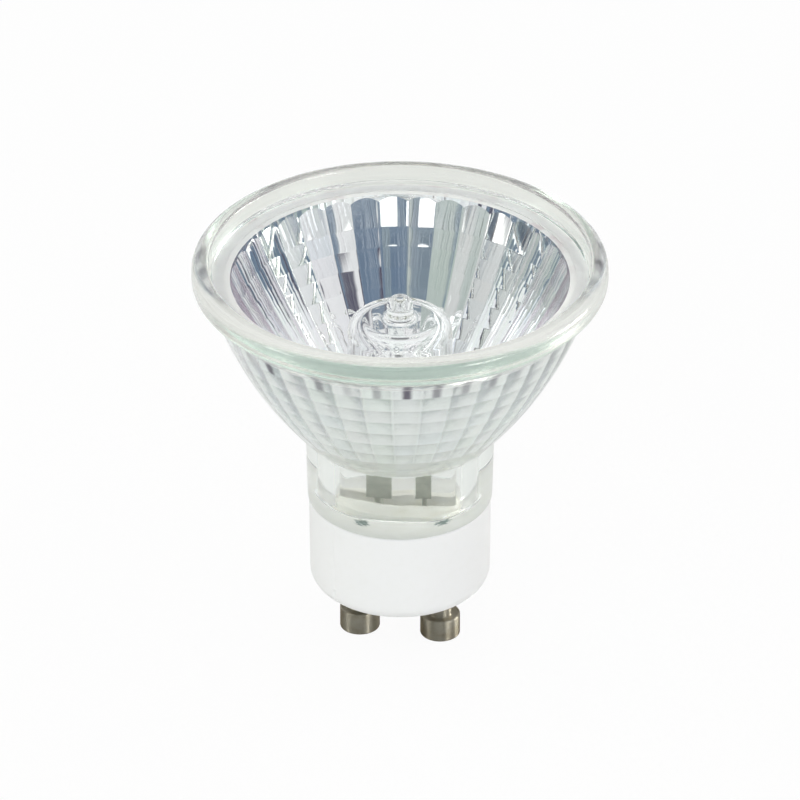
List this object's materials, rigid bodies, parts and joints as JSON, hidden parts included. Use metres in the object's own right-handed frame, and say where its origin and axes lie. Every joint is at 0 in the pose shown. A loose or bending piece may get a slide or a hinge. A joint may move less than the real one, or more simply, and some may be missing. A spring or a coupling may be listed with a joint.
{
  "type": "gu10 reflector spotlight bulb",
  "caption": "Mains halogen spotlight bulb: faceted glass reflector with front glass, quartz capsule, white ceramic base and twist-lock contact pins with heads.",
  "frame": {"origin": "on the lamp axis, in the plane of the pin tips", "axes": "+Z along the lamp axis towards the front glass; the two contact pins lie on X"},
  "size_m": [0.05, 0.05, 0.0525],
  "materials": {
    "reflector_glass": "clear pressed glass, silvery cool-beam coating on the facets",
    "cover_glass": "clear flat glass",
    "quartz": "clear fused quartz",
    "ceramic": "matt white steatite",
    "cement": "cream lamp cement",
    "nickel": "turned, nickel plated",
    "molybdenum": "dull grey metal",
    "tungsten": "coiled wire",
    "bond": "translucent bond line"
  },
  "bodies": {
    "root": {"reflector": "reflector_glass", "front_glass": "cover_glass", "front_glass_seal": "bond", "capsule": "quartz", "base": "ceramic", "cement": "cement", "filament": "tungsten", "filament_support": "molybdenum", "contact_pin_left": "nickel", "foil_left": "molybdenum", "inner_lead_left": "molybdenum", "outer_lead_left": "molybdenum", "contact_pin_right": "nickel", "foil_right": "molybdenum", "inner_lead_right": "molybdenum", "outer_lead_right": "molybdenum"}
  },
  "joints": []
}
